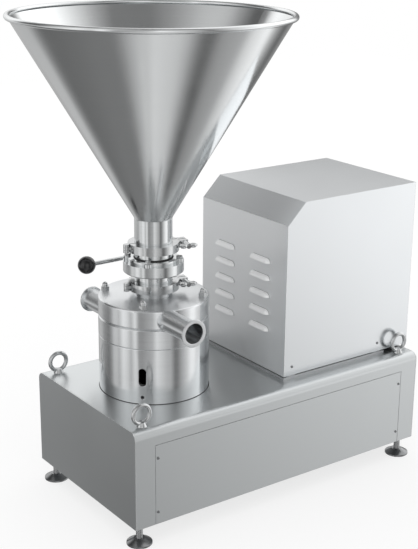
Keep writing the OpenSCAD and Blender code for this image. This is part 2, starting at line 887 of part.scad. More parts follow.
module housing_bolts() {
    color(dull_steel) for (a = diagonals) at_mill(z_under_deck) rotate(a)
        translate([housing_bolt_circle, 0, 0]) mirror([0, 0, 1])
        hex_bolt(housing_bolt_r, 24, dome_nut_flats, bolt_hex_height);
}

module shaft_seal() {
    color(black) at_mill(z_deck + housing_height - housing_top)
        ring(spindle_r + bearing_cap_height - running_fit, seal_r + running_fit, housing_top);
}

module spindle() {
    below = spindle_below;
    shoulder = housing_height - housing_top - part_gap;
    nut_end = rotor_level + rotor_height + 15;
    color(steel) at_mill(z_deck) rotate_extrude() polygon([[0, -below], [seal_r, -below],
        [seal_r, -base_sheet], [spindle_r, -base_sheet], [spindle_r, shoulder], [seal_r, shoulder],
        [seal_r, rotor_level], [rotor_hole_r, rotor_level], [rotor_hole_r, rotor_level + rotor_height],
        [rotor_nut_r, rotor_level + rotor_height], [rotor_nut_r, nut_end], [0, nut_end]]);
}

// Grinding set

module rotor() {
    color(steel) at_mill(z_deck + rotor_level) difference() {
        cylinder(r1 = rotor_r, r2 = rotor_r - rotor_taper, h = rotor_height);
        translate([0, 0, -overcut])
            cylinder(r = rotor_hole_r + running_fit, h = rotor_height + 2 * overcut);
        for (i = [0 : groove_count - 1]) rotate(i * 360 / groove_count)
            translate([rotor_r - rotor_taper - groove_depth, -groove_depth / 2, -overcut])
            cube([rotor_taper + 2 * groove_depth, groove_depth, rotor_height + 2 * overcut]);
    }
}

module stator() {
    top = z_lid - cover_top;
    low = z_deck + rotor_level - 2;
    height = top - low;
    mouth = rotor_r + grinding_gap + 2 * rotor_taper / rotor_height;
    throat = mouth - height * rotor_taper / rotor_height;
    color(steel) at_mill(low) difference() {
        cylinder(r = rotor_r + stator_wall, h = height);
        translate([0, 0, -overcut]) cylinder(r1 = mouth + overcut * rotor_taper / rotor_height,
            r2 = throat - overcut * rotor_taper / rotor_height, h = height + 2 * overcut);
        for (i = [0 : groove_count - 1]) rotate((i + 0.5) * 360 / groove_count)
            translate([throat - overcut, -groove_depth / 2, -overcut])
            cube([mouth - throat + overcut + groove_depth / 2, groove_depth, height / 2 + overcut]);
    }
}

module rotor_nut() {
    color(steel) at_mill(z_deck + rotor_level + rotor_height) difference() {
        hexagon(3 * rotor_nut_r, rotor_nut_height);
        translate([0, 0, -overcut]) cylinder(r = rotor_nut_r + thread_fit, h = rotor_nut_height + 2 * overcut);
    }
}

// Middle ring and cover with their pipes

// Side pipe along +Z to its ferrule, with a solid root that goes into the casing's wall
module side_pipe() {
    root = sqrt(pow(cavity_r, 2) - pow(pipe_offset + pipe_r, 2));
    translate([0, 0, root]) cylinder(r = pipe_r, h = casing_r - root);
    translate([0, 0, pipe_reach]) mirror([0, 0, 1])
        ferrule_tube(pipe_bore_r, pipe_r, pipe_ferrule_r, pipe_reach - casing_r);
}

module stud_holes(height) {
    for (a = diagonals) rotate(a) translate([stud_circle, 0, -overcut])
        cylinder(r = stud_r + part_gap, h = height + 2 * overcut);
}

module discharge_ring() {
    color(steel) at_mill(z_ring) difference() {
        union() {
            rotate_extrude() polygon([[0, 0], [casing_r - low_seam_chamfer, 0],
                [casing_r, low_seam_chamfer], [casing_r, ring_height - seam_chamfer],
                [casing_r - seam_chamfer, ring_height], [0, ring_height]]);
            difference() {
                translate([-pipe_offset, 0, rear_pipe_level]) rotate([-90, 0, 0]) side_pipe();
                for (z = [-casing_r, ring_height])
                    translate([0, 0, z]) cylinder(r = casing_r + part_gap, h = casing_r);
            }
        }
        translate([0, 0, -overcut]) cylinder(r = cavity_r, h = ring_height + 2 * overcut);
        translate([-pipe_offset, 0, rear_pipe_level]) rotate([-90, 0, 0])
            cylinder(r = port_r, h = casing_r + overcut);
        stud_holes(ring_height);
        gasket_groove(ring_height);
    }
}

// Half of the cover's section: chamfered foot, rounded upper edge
module cover_section() {
    polygon([[0, 0], [casing_r - seam_chamfer, 0], [casing_r, seam_chamfer],
        [casing_r, cover_height - cover_fillet], [0, cover_height - cover_fillet]]);
    square([casing_r - cover_fillet, cover_height]);
    translate([casing_r - cover_fillet, cover_height - cover_fillet]) circle(cover_fillet);
}

module mill_cover() {
    color(steel) at_mill(z_cover) difference() {
        union() {
            rotate_extrude() cover_section();
            difference() {
                translate([-pipe_offset, 0, front_pipe_level]) rotate([90, 0, 0]) side_pipe();
                for (z = [-casing_r, cover_height])
                    translate([0, 0, z]) cylinder(r = casing_r + part_gap, h = casing_r);
            }
            translate([0, 0, cover_height + inlet_height - gasket / 2]) mirror([0, 0, 1])
                ferrule_tube(bore_r, tube_r, ferrule_r, inlet_height + overcut);
        }
        translate([0, 0, -overcut]) cylinder(r = cavity_r, h = cover_height - cover_top + overcut);
        cylinder(r = bore_r, h = cover_height + overcut);
        translate([-pipe_offset, 0, front_pipe_level]) rotate([90, 0, 0])
            cylinder(r = port_r, h = casing_r + overcut);
        stud_holes(cover_height);
    }
}

module cover_studs() {
    low = z_ring - housing_top + 2;
    color(steel) for (a = diagonals) at_mill(low) rotate(a) translate([stud_circle, 0, 0])
        cylinder(r = stud_r, h = z_lid + dome_nut_height - low);
}

module dome_nuts() {
    color(steel) for (a = diagonals) at_mill(z_lid) rotate(a) translate([stud_circle, 0, 0]) difference() {
        union() {
            hexagon(dome_nut_flats, dome_nut_height);
            translate([0, 0, dome_nut_height - overcut]) rotate_extrude() {
                square([dome_r, dome_straight + overcut]);
                translate([0, dome_straight + overcut]) intersection() {
                    circle(dome_r);
                    square(dome_r);
                }
            }
        }
        translate([0, 0, -overcut]) cylinder(r = stud_r + thread_fit, h = dome_nut_height + 2 * overcut);
    }
}

// Hinged clamps, in a frame with the swing bolt towards +X

module at_clamps() {
    for (z = [z_low_joint, z_top_joint]) at_mill(z) rotate(clamp_angle) children();
}

// Half of a clamp ring's section, grooved to hold two ferrules
module clamp_section() {
    rim = ferrule_rim + gasket / 2 + part_gap;
    lip = rim + (ferrule_r - tube_r) * tan(ferrule_slope);
    inner = tube_r + part_gap;
    half = clamp_height / 2;
    polygon([[inner, -half], [clamp_r, -half], [clamp_r, half], [inner, half], [inner, lip],
        [ferrule_r + part_gap, rim], [ferrule_r + part_gap, -rim], [inner, -lip]]);
}

module clamp_half_ring() {
    difference() {
        rotate_extrude() clamp_section();
        translate([-clamp_r - overcut, -half_gap, -clamp_height / 2 - overcut])
            cube([2 * (clamp_r + overcut), clamp_r + half_gap + overcut, clamp_height + 2 * overcut]);
    }
}

// Hinge knuckle between two heights, tied to the half ring on the -Y side
module knuckle(low, high) {
    knuckle_r = hinge_pin_r + 3;
    translate([-hinge_distance, 0, low]) {
        cylinder(r = knuckle_r, h = high - low);
        translate([0, -knuckle_r, 0])
            cube([hinge_distance - clamp_r + knuckle_r, knuckle_r - half_gap, high - low]);
    }
}

module hinge_hole() {
    translate([-hinge_distance, 0, -clamp_height])
        cylinder(r = hinge_pin_r + screw_fit, h = 2 * clamp_height);
}

// Lug beside the split on the -Y side
module lug() {
    root = (ferrule_r + clamp_r) / 2;
    translate([root, -half_gap - lug_depth, -lug_height / 2])
        cube([lug_outer - root, lug_depth, lug_height]);
}

module clamp_front_halves() {
    slot = 2 * (bolt_r + part_gap);
    color(steel) at_clamps() difference() {
        union() {
            clamp_half_ring();
            lug();
            knuckle(-clamp_height / 6, clamp_height / 6);
        }
        hinge_hole();
        translate([bolt_distance - slot / 2, -clamp_r, -slot / 2]) cube([clamp_r, clamp_r, slot]);
    }
}

module clamp_rear_halves() {
    fork = 2 * (bolt_r + part_gap);
    color(steel) at_clamps() mirror([0, 1, 0]) difference() {
        union() {
            clamp_half_ring();
            lug();
            knuckle(clamp_height / 6 + part_gap, clamp_height / 2);
            knuckle(-clamp_height / 2, -clamp_height / 6 - part_gap);
        }
        hinge_hole();
        translate([clamp_r + part_gap, -clamp_r, -fork / 2]) cube([clamp_r, clamp_r, fork]);
        translate([bolt_distance, -half_gap - lug_depth / 2, -lug_height])
            cylinder(r = swing_pin_r + screw_fit, h = 2 * lug_height);
    }
}

module clamp_pins() {
    color(steel) at_clamps() {
        translate([-hinge_distance, 0, -clamp_height / 2]) cylinder(r = hinge_pin_r, h = clamp_height);
        translate([bolt_distance, half_gap + lug_depth / 2, -lug_height / 2])
            cylinder(r = swing_pin_r, h = lug_height);
    }
}

// Eye bolt that swings on its pin in the rear half and passes through the front half's slot
module swing_bolts() {
    eye = half_gap + lug_depth / 2;
    length = eye + wing_seat + wing_hub + bolt_tail;
    eye_height = 2 * bolt_r - overcut;
    color(steel) at_clamps() translate([bolt_distance, eye, 0]) difference() {
        union() {
            translate([0, 0, -eye_height / 2]) cylinder(r = lug_depth / 2, h = eye_height);
            rotate([90, 0, 0]) cylinder(r = bolt_r, h = length);
        }
        translate([0, 0, -2 * bolt_r]) cylinder(r = swing_pin_r + screw_fit, h = 4 * bolt_r);
    }
}

// Half of a wing's section: round-edged disc with a hollow in its upper face
module wing_section() {
    half = wing_thickness / 2;
    edge = wing_thickness / 4;
    difference() {
        polygon([[0, -half], [wing_lobe_r - 2 * edge, -half], [wing_lobe_r, 0], [wing_lobe_r, half - edge],
            [wing_lobe_r - edge, half], [0, half]]);
        polygon([[0, 0], [wing_hollow_r - edge, 0], [wing_hollow_r, half + overcut], [0, half + overcut]]);
    }
}

module wing_nut(z) {
    color(steel) at_mill(z) rotate(clamp_angle) translate([bolt_distance, -wing_seat, 0]) difference() {
        union() {
            rotate([90, 0, 0]) cylinder(r1 = 2 * bolt_r, r2 = 1.5 * bolt_r, h = wing_hub);
            for (s = [-1, 1]) translate([s * wing_offset, wing_seat - wing_middle, 0])
                rotate_extrude() wing_section();
        }
        translate([0, overcut, 0]) rotate([90, 0, 0])
            cylinder(r = bolt_r + thread_fit, h = wing_hub + 2 * overcut);
    }
}

module wing_nut_lower() {
    wing_nut(z_low_joint);
}

module wing_nut_upper() {
    wing_nut(z_top_joint);
}

module clamp_gaskets() {
    color(black) for (z = [z_low_joint, z_top_joint]) at_mill(z - gasket / 2)
        ring(ferrule_r, bore_r, gasket);
}

// Butterfly valve

module valve_bolt_holes(low, height) {
    for (a = diagonals) rotate(a) translate([valve_bolt_circle, 0, low])
        cylinder(r = valve_bolt_r + screw_fit, h = height);
}

module valve_lower_body() {
    below = z_valve_ring - z_low_joint - gasket / 2;
    stem_end = valve_ring_r - 14;
    color(steel) at_mill(z_low_joint + gasket / 2) difference() {
        union() {
            ferrule_tube(bore_r, tube_r, ferrule_r, below + overcut);
            translate([0, 0, below]) cylinder(r = valve_ring_r, h = valve_ring_height);
        }
        translate([0, 0, below - overcut]) cylinder(r = bore_r, h = valve_ring_height + 2 * overcut);
        translate([0, 0, below + valve_ring_height - seat_height])
            cylinder(r = seat_pocket_r, h = seat_height + overcut);
        translate([0, -stem_end - part_gap, below + valve_ring_height / 2]) rotate([-90, 0, 0])
            cylinder(r = stem_r + running_fit, h = 2 * valve_ring_r + stem_end);
        valve_bolt_holes(below + overcut, valve_ring_height);
    }
}

module valve_upper_body() {
    above = z_top_joint - gasket / 2 - z_valve_flange;
    color(steel) at_mill(z_valve_flange) difference() {
        union() {
            cylinder(r = valve_flange_r, h = valve_flange);
            for (a = diagonals) rotate(a) translate([valve_bolt_circle, 0, 0])
                cylinder(r = ear_r, h = valve_flange);
            translate([0, 0, above]) mirror([0, 0, 1])
                ferrule_tube(bore_r, tube_r, ferrule_r, above - overcut);
        }
        translate([0, 0, -overcut]) cylinder(r = bore_r, h = above);
        valve_bolt_holes(-overcut, valve_flange + 2 * overcut);
    }
}

module valve_seat() {
    color(black) at_mill(z_valve_flange - seat_height) difference() {
        ring(seat_pocket_r - running_fit, seat_r, seat_height);
        translate([0, 0, seat_height - valve_ring_height / 2]) rotate([90, 0, 0])
            cylinder(r = stem_r + running_fit, h = 3 * seat_pocket_r, center = true);
    }
}

module valve_disc() {
    color(steel) at_mill(z_valve) difference() {
        union() {
            translate([0, 0, -disc_thickness / 2]) cylinder(r = disc_r, h = disc_thickness);
            intersection() {
                rotate([90, 0, 0]) cylinder(r = stem_r + 3, h = 2 * disc_r, center = true);
                sphere(disc_r);
            }
        }
        rotate([90, 0, 0]) cylinder(r = stem_r + running_fit, h = 3 * disc_r, center = true);
    }
}

module valve_stem() {
    stem_end = valve_ring_r - 14;
    hub = lever_hub();
    color(steel) at_mill(z_valve) translate([0, -stem_end, 0]) rotate([-90, 0, 0])
        cylinder(r = stem_r, h = stem_end + hub[1]);
}

// Start and end of the lever's hub, measured from the mill's axis
function lever_hub() = [valve_ring_r + part_gap, 2 * lever_reach - valve_ring_r - part_gap];

module valve_bolts() {
    color(dull_steel) for (a = diagonals) at_mill(z_valve_flange + valve_flange) rotate(a)
        translate([valve_bolt_circle, 0, 0])
        hex_bolt(valve_bolt_r, valve_flange + valve_ring_height - 4, bolt_hex_flats, bolt_hex_height);
}

module lever_arm() {
    hub = lever_hub();
    hub_outer = stem_r + 5;
    color(steel) at_mill(z_valve) difference() {
        union() {
            translate([0, hub[0], 0]) rotate([-90, 0, 0]) cylinder(r = hub_outer, h = hub[1] - hub[0]);
            translate([0, lever_reach, 0]) rotate([0, -90, 0]) cylinder(r = lever_rod_r, h = lever_length);
        }
        rotate([-90, 0, 0]) cylinder(r = stem_r + running_fit, h = 2 * lever_reach);
    }
}

// Ball knob turned round the lever's axis, with a flat face where the rod goes in
module lever_knob() {
    flat = knob_r * 0.86;
    color(black) at_mill(z_valve) translate([-lever_length, lever_reach, 0]) rotate([0, 90, 0])
        rotate_extrude() difference() {
            intersection() {
                circle(knob_r);
                translate([0, -knob_r]) square([knob_r, knob_r + flat]);
            }
            translate([0, -part_gap]) square([lever_rod_r + thread_fit, 2 * knob_r]);
        }
}

// Hopper

module hopper_neck() {
    color(steel) at_mill(z_top_joint + gasket / 2)
        ferrule_tube(bore_r, tube_r, ferrule_r, neck_length - gasket / 2);
}

module hopper_cone() {
    color(steel) at_mill(z_cone) rotate_extrude() {
        polygon([[bore_r, 0], [bore_r + hopper_sheet, 0], [rim_r, cone_height],
            [rim_r - hopper_sheet, cone_height]]);
        translate([rim_r, cone_height]) circle(bead_r);
    }
}

base_shell();
end_panel_left();
end_panel_right();
front_panel();
panel_posts();
panel_screws();
bottom_plate();
foot_rod_front_left();
foot_rod_back_left();
foot_rod_front_right();
foot_rod_back_right();
foot_pad_front_left();
foot_pad_back_left();
foot_pad_front_right();
foot_pad_back_right();
eye_bolts();
motor_plate();
hood();
hood_brackets();
hood_screws();
motor_flange();
motor_frame();
motor_cowl();
terminal_box();
motor_shaft();
motor_bolts();
motor_pulley();
belts();
spindle_pulley();
spindle();
bearings();
bearing_cap();
bearing_housing();
housing_bolts();
shaft_seal();
discharge_ring();
casing_gaskets();
stator();
rotor();
rotor_nut();
mill_cover();
cover_studs();
dome_nuts();
clamp_front_halves();
clamp_rear_halves();
clamp_pins();
swing_bolts();
wing_nut_lower();
wing_nut_upper();
clamp_gaskets();
valve_lower_body();
valve_upper_body();
valve_seat();
valve_disc();
valve_stem();
valve_bolts();
lever_arm();
lever_knob();
hopper_neck();
hopper_cone();
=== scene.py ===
"""A colloid mill in stainless steel: its finishes, the black rings of painted shade at its joints, the white
studio round it and the camera.
"""

import math

import bpy
from mathutils import Matrix, Vector


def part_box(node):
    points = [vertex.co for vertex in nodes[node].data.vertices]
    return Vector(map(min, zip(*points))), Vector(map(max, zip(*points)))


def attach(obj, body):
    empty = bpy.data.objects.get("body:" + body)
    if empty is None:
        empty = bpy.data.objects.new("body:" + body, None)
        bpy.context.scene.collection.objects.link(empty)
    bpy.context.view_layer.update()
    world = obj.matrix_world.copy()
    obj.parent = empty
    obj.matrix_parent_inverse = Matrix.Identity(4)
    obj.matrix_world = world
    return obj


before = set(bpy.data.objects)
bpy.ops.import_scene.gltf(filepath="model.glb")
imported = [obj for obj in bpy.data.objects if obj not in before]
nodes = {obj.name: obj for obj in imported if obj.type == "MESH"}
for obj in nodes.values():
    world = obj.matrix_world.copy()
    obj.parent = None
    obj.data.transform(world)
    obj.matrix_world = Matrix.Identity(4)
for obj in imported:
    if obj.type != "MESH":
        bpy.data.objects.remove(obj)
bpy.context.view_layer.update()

# The axis of the mill, the valve and the hopper
axis_low, axis_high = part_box("rotor")
AXIS_X = (axis_low.x + axis_high.x) / 2
AXIS_Y = (axis_low.y + axis_high.y) / 2

# The range in which nearly all values of a noise lie
NOISE_LOW = 0.3
NOISE_HIGH = 0.7


def add(tree, kind, inputs=(), **settings):
    """A new shader node; each input takes a value or the output of another node."""
    node = tree.nodes.new("ShaderNode" + kind)
    for name, value in settings.items():
        setattr(node, name, value)
    for key, value in dict(inputs).items():
        if isinstance(value, bpy.types.NodeSocket):
            tree.links.new(value, node.inputs[key])
        else:
            node.inputs[key].default_value = value
    return node


def math_node(tree, operation, *values):
    """The output of a Math node on values or outputs."""
    return add(tree, "Math", enumerate(values), operation=operation).outputs[0]


def mix_colors(tree, factor, first, second):
    """The output of a mix of two colours, each a value or an output."""
    return add(tree, "Mix", {"Factor": factor, 6: first, 7: second}, data_type="RGBA").outputs[2]


def grey(level):
    """A grey colour of one brightness."""
    return (level, level, level, 1)


def set_ramp(ramp, stops):
    """Gives a colour ramp grey stops, as (position, brightness)."""
    while len(ramp.elements) > 1:
        ramp.elements.remove(ramp.elements[-1])
    for number, (place, level) in enumerate(stops):
        stop = ramp.elements[0] if number == 0 else ramp.elements.new(place)
        stop.position = place
        stop.color = grey(level)


def material(name, color, roughness, metallic=1.0):
    """A material with its shader; the surface detail is linked in by the caller."""
    made = bpy.data.materials.new(name)
    made.use_nodes = True
    shader = made.node_tree.nodes["Principled BSDF"]
    shader.inputs["Base Color"].default_value = (*color, 1)
    shader.inputs["Roughness"].default_value = roughness
    shader.inputs["Metallic"].default_value = metallic
    return made, made.node_tree, shader


def own_place(tree):
    """The place on the object in its own metres, as X, Y and Z."""
    return add(tree, "SeparateXYZ", {0: add(tree, "TexCoord").outputs["Object"]}).outputs


def stretched_noise(tree, stretch, detail=3.0):
    """Noise in the object's own metres, with its own scale along each axis."""
    place = add(tree, "TexCoord").outputs["Object"]
    scaled = add(tree, "Mapping", {"Vector": place, "Scale": stretch}, vector_type="POINT")
    noise = add(tree, "TexNoise", {"Vector": scaled.outputs[0], "Scale": 1.0, "Detail": detail})
    return noise.outputs["Fac"]


def even_noise(tree, scale, detail=3.0):
    """Noise in the object's own metres, with one scale along all axes."""
    return stretched_noise(tree, (scale, scale, scale), detail)


def from_axis(tree):
    """Distance from the mill's axis, height, and the direction round the axis."""
    place = add(tree, "TexCoord").outputs["Object"]
    moved = add(tree, "VectorMath", {0: place, 1: (-AXIS_X, -AXIS_Y, 0)}, operation="ADD")
    parts = add(tree, "SeparateXYZ", {0: moved.outputs[0]})
    x, y, z = parts.outputs
    square = math_node(tree, "ADD", math_node(tree, "MULTIPLY", x, x), math_node(tree, "MULTIPLY", y, y))
    round_axis = add(tree, "VectorMath", {0: (0, 0, 1), 1: moved.outputs[0]}, operation="CROSS_PRODUCT")
    direction = add(tree, "VectorMath", {0: round_axis.outputs[0]}, operation="NORMALIZE")
    return math_node(tree, "SQRT", square), z, direction.outputs[0]


def spread(tree, factor, low, high):
    """Maps a noise factor to the range from low to high."""
    limits = {"From Min": NOISE_LOW, "From Max": NOISE_HIGH, "To Min": low, "To Max": high}
    return add(tree, "MapRange", {"Value": factor, **limits}).outputs[0]


def around(tree, factor, middle, change):
    """Maps a noise factor to a range on both sides of a middle value."""
    return spread(tree, factor, middle - change, middle + change)


def shade(tree, factor, color, change):
    """A colour that wanders by a share of its brightness."""
    dark = (*[c * (1 - change) for c in color], 1)
    light = (*[min(1, c * (1 + change)) for c in color], 1)
    return mix_colors(tree, factor, dark, light)


def relief(tree, shader, height, depth, edge=0.0):
    """Bump of a depth in metres, over edges rounded by a small radius."""
    bump = add(tree, "Bump", {"Height": height, "Distance": depth, "Strength": 1.0})
    if edge:
        rounded = add(tree, "Bevel", {"Radius": edge}, samples=4)
        tree.links.new(rounded.outputs[0], bump.inputs["Normal"])
    tree.links.new(bump.outputs[0], shader.inputs["Normal"])


# Sheet steel: its rounded edges, its clouds and its fine lines
SHEET_EDGE = 0.0012
SHEET_CLOUD_SCALE = 3.0
SHEET_CLOUD_GLOSS = 0.02
SHEET_LINE_GLOSS = 0.005
SHEET_LINE_SHADE = 0.006
SHEET_LINE_DEPTH = 3e-7


def sheet_steel(name, stretch, color=(0.66, 0.682, 0.688), roughness=0.32):
    """Rolled and finely ground sheet, with clouds of slightly different gloss."""
    made, tree, shader = material(name, color, roughness)
    clouds = even_noise(tree, SHEET_CLOUD_SCALE)
    lines = stretched_noise(tree, stretch, 2.0)
    cloud_rough = around(tree, clouds, roughness, SHEET_CLOUD_GLOSS)
    line_rough = around(tree, lines, 0, SHEET_LINE_GLOSS)
    tree.links.new(math_node(tree, "ADD", cloud_rough, line_rough), shader.inputs["Roughness"])
    wandering = shade(tree, spread(tree, lines, 0, 1), color, SHEET_LINE_SHADE)
    tree.links.new(wandering, shader.inputs["Base Color"])
    relief(tree, shader, lines, SHEET_LINE_DEPTH, SHEET_EDGE)
    return made


# Pressed steel: how it looks where it is fully out, a pale painted highlight on a more matt finish, and the
# line of painted shade in its bend
# The bend's middle and half width are shares of the way out
PRESSED_PAINTED_HIGHLIGHT = (0.95, 0.955, 0.96, 1)
PRESSED_ROUGHNESS = 0.5
PRESSED_METAL = 0.15
BEND_PAINTED_SHADE = grey(0.08)
BEND_MIDDLE = 0.7
BEND_SPREAD = 0.32


def pressed_steel(made, start, way):
    """Sheet pressed out towards -X from a starting plane: painted shade in its bend, then a pale painted
    highlight on a more matt finish.
    """
    tree = made.node_tree
    shader = tree.nodes["Principled BSDF"]
    flat_rough = shader.inputs["Roughness"].links[0].from_socket
    flat_color = shader.inputs["Base Color"].links[0].from_socket
    limits = {"From Min": start, "From Max": start - way}
    out = add(tree, "MapRange", {"Value": own_place(tree)[0], **limits}).outputs[0]
    away = math_node(tree, "ABSOLUTE", math_node(tree, "SUBTRACT", out, BEND_MIDDLE))
    bend_shade = math_node(tree, "MULTIPLY_ADD", away, -1 / BEND_SPREAD, 1.0)
    # A pale painted highlight where the sheet is pressed out
    painted_highlight = mix_colors(tree, out, flat_color, PRESSED_PAINTED_HIGHLIGHT)
    rough = add(tree, "Mix", {"Factor": out, 2: flat_rough, 3: PRESSED_ROUGHNESS})
    metal = add(tree, "MapRange", {"Value": out, "To Min": 1.0, "To Max": PRESSED_METAL})
    # The dark line in the bend is painted shade
    tree.links.new(mix_colors(tree, bend_shade, painted_highlight, BEND_PAINTED_SHADE), shader.inputs["Base Color"])
    tree.links.new(rough.outputs[0], shader.inputs["Roughness"])
    tree.links.new(metal.outputs[0], shader.inputs["Metallic"])


# Turned steel: its clouds and rings, and the quarter turn that lays its streaks along the rings
TURNED_CLOUD_SCALE = 9.0
TURNED_GLOSS = 0.03
TURNED_SHADE = 0.04
QUARTER_TURN = 0.25


def turned_steel(name, color, roughness, line, depth, drawn, edge=0.0, faced=0.0):
    """Steel turned or polished round the mill's axis: fine rings, streaked gloss, rougher on its faces."""
    made, tree, shader = material(name, color, roughness)
    radius, height, direction = from_axis(tree)
    place = add(tree, "CombineXYZ", {0: radius, 1: height, 2: 0.0})
    ring_inputs = {"Vector": place.outputs[0], "Scale": line, "Detail": 2.0}
    rings = add(tree, "TexNoise", ring_inputs).outputs["Fac"]
    clouds = even_noise(tree, TURNED_CLOUD_SCALE)
    cloud_rough = around(tree, clouds, roughness, TURNED_GLOSS)
    side_rough = math_node(tree, "ADD", cloud_rough, around(tree, rings, 0, TURNED_GLOSS))
    normal = add(tree, "SeparateXYZ", {0: add(tree, "NewGeometry").outputs["Normal"]})
    flatness = math_node(tree, "ABSOLUTE", normal.outputs[2])
    rough = math_node(tree, "MULTIPLY_ADD", flatness, faced, side_rough)
    tree.links.new(rough, shader.inputs["Roughness"])
    wandering = shade(tree, spread(tree, rings, 0, 1), color, TURNED_SHADE)
    tree.links.new(wandering, shader.inputs["Base Color"])
    shader.inputs["Anisotropic"].default_value = drawn
    shader.inputs["Anisotropic Rotation"].default_value = QUARTER_TURN
    tree.links.new(direction, shader.inputs["Tangent"])
    relief(tree, shader, rings, depth, edge)
    return made


# Small pieces: the clouds on them, their rounded edges and the gloss of a clear coat
SMALL_CLOUD_SCALE = 25.0
SMALL_CLOUD_GLOSS = 0.04
SMALL_EDGE = 0.0006
COAT_ROUGHNESS = 0.04
# How much painted shade darkens the grooves of a thread
PAINTED_GROOVE_SHADE = 0.3


def grained(name, color, roughness, scale, depth, change, metallic=1.0, coat=0.0):
    """A cast, moulded or plated surface with an even grain."""
    made, tree, shader = material(name, color, roughness, metallic)
    grain = even_noise(tree, scale, 4.0)
    clouds = even_noise(tree, SMALL_CLOUD_SCALE)
    tree.links.new(around(tree, clouds, roughness, SMALL_CLOUD_GLOSS), shader.inputs["Roughness"])
    tree.links.new(shade(tree, spread(tree, grain, 0, 1), color, change), shader.inputs["Base Color"])
    shader.inputs["Coat Weight"].default_value = coat
    shader.inputs["Coat Roughness"].default_value = COAT_ROUGHNESS
    relief(tree, shader, grain, depth, SMALL_EDGE)
    return made


def threaded_steel(name, color, roughness, pitch, depth):
    """Bright bar with a thread cut into it round an upright axis, with painted shade darkening its grooves.
    """
    made, tree, shader = material(name, color, roughness)
    height = own_place(tree)[2]
    thread = math_node(tree, "SINE", math_node(tree, "MULTIPLY", height, math.tau / pitch))
    crest = math_node(tree, "MULTIPLY_ADD", thread, 0.5, 0.5)
    clouds = even_noise(tree, SMALL_CLOUD_SCALE)
    tree.links.new(around(tree, clouds, roughness, SMALL_CLOUD_GLOSS), shader.inputs["Roughness"])
    # Darker in the grooves: painted shade
    tree.links.new(shade(tree, crest, color, PAINTED_GROOVE_SHADE), shader.inputs["Base Color"])
    relief(tree, shader, crest, depth)
    return made


FINISHES = {
    "base sheet": sheet_steel("base_sheet_steel", (4.0, 1200.0, 1500.0)),
    "end sheet": sheet_steel("end_sheet_steel", (1200.0, 4.0, 1500.0)),
    # The hood gets a paler copy of the cabinet's sheet steel: painted light
    "hood sheet": sheet_steel(
        "hood_sheet_steel", (4.0, 4.0, 1500.0), color=(0.79, 0.81, 0.825), roughness=0.23
    ),
    "plate": sheet_steel("plate_steel", (60.0, 60.0, 300.0), color=(0.6, 0.61, 0.62), roughness=0.45),
    "cone sheet": turned_steel(
        "hopper_sheet_steel", (0.75, 0.765, 0.77), 0.16, line=2500.0, depth=3e-7, drawn=0.5
    ),
    "mill": turned_steel(
        "turned_mill_steel", (0.73, 0.745, 0.755), 0.14, line=900.0, depth=4e-6, drawn=0.85,
        edge=0.0025, faced=0.2,
    ),
    "line": turned_steel(
        "polished_line_steel", (0.7, 0.715, 0.72), 0.13, line=1200.0, depth=1e-6, drawn=0.7, edge=0.0008
    ),
    "clamp": grained(
        "cast_clamp_steel", (0.62, 0.63, 0.635), 0.14, scale=300.0, depth=1e-5, change=0.06
    ),
    "bolt": grained(
        "bright_bolt_steel", (0.6, 0.61, 0.615), 0.13, scale=400.0, depth=4e-6, change=0.06
    ),
    "screw": grained(
        "dull_screw_steel", (0.24, 0.245, 0.25), 0.28, scale=400.0, depth=4e-6, change=0.1
    ),
    "rod": threaded_steel("threaded_rod_steel", (0.46, 0.465, 0.47), 0.22, pitch=0.002, depth=0.0004),
    "pad": grained("dark_foot_pad", (0.26, 0.265, 0.27), 0.2, scale=400.0, depth=1e-5, change=0.12),
    "motor": grained("motor_aluminium", (0.5, 0.52, 0.54), 0.48, scale=350.0, depth=8e-5, change=0.1),
    "cowl": grained(
        "motor_cowl_paint", (0.27, 0.29, 0.31), 0.45, scale=600.0, depth=3e-5, change=0.06, metallic=0.0
    ),
    "iron": grained("pulley_iron", (0.3, 0.3, 0.31), 0.42, scale=400.0, depth=6e-5, change=0.12),
    "rubber": grained(
        "black_rubber", (0.025, 0.025, 0.026), 0.55, scale=500.0, depth=4e-5, change=0.2, metallic=0.0
    ),
    "knob": grained(
        "black_ball_plastic", (0.006, 0.006, 0.007), 0.09, scale=150.0, depth=2e-6, change=0.2,
        metallic=0.0, coat=0.2,
    ),
}

# The louvres curve out from the middle of the hood's sheet by this radius,
# and they have their full pale painted highlight and matt finish from a quarter of it on
LOUVRE_R = 0.012
pressed_steel(FINISHES["hood sheet"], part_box("hood")[0].x + LOUVRE_R, LOUVRE_R / 4)

